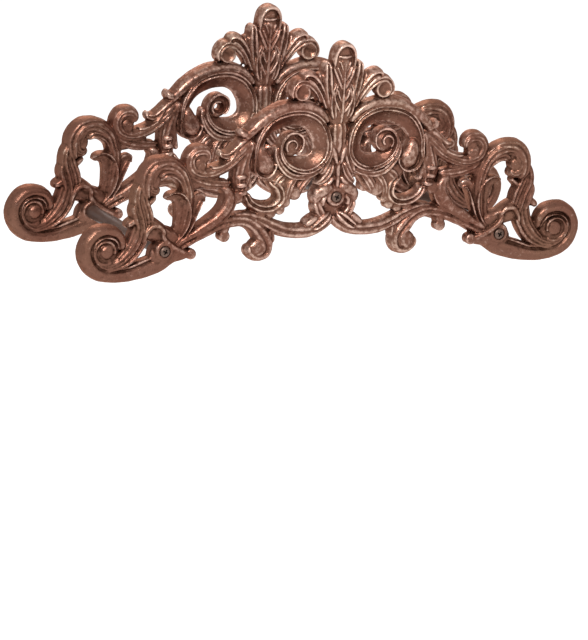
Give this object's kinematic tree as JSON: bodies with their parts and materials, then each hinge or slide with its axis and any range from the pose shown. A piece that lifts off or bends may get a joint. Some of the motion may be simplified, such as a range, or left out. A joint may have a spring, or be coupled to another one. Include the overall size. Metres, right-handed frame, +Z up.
{
  "type": "wall hose holder",
  "caption": "Wall-mounted garden hose holder: two openwork scroll castings with leaf finials, held apart by round bars that a coiled hose hangs over.",
  "frame": {"origin": "on the wall plane, midway between the two upper wall holes of the back casting", "axes": "+Y into the wall, -Y to the front, +X to the right as seen from the front, +Z up"},
  "size_m": [0.5, 0.164, 0.212],
  "materials": {
    "antique_copper": "cast aluminium with a rubbed antique copper finish, satin",
    "bar_bronze": "dark bronze paint on steel, satin",
    "screw_bronze": "dark antique bronze plating",
    "screw_black": "black oxide"
  },
  "bodies": {
    "root": {"front_casting": "antique_copper", "back_casting": "antique_copper", "hose_bar_left": "bar_bronze", "hose_bar_centre": "bar_bronze", "hose_bar_right": "bar_bronze", "front_screw_left": "screw_bronze", "front_screw_centre": "screw_bronze", "front_screw_right": "screw_bronze", "rear_screw_left": "screw_black", "rear_screw_centre": "screw_black", "rear_screw_right": "screw_black"}
  },
  "joints": []
}
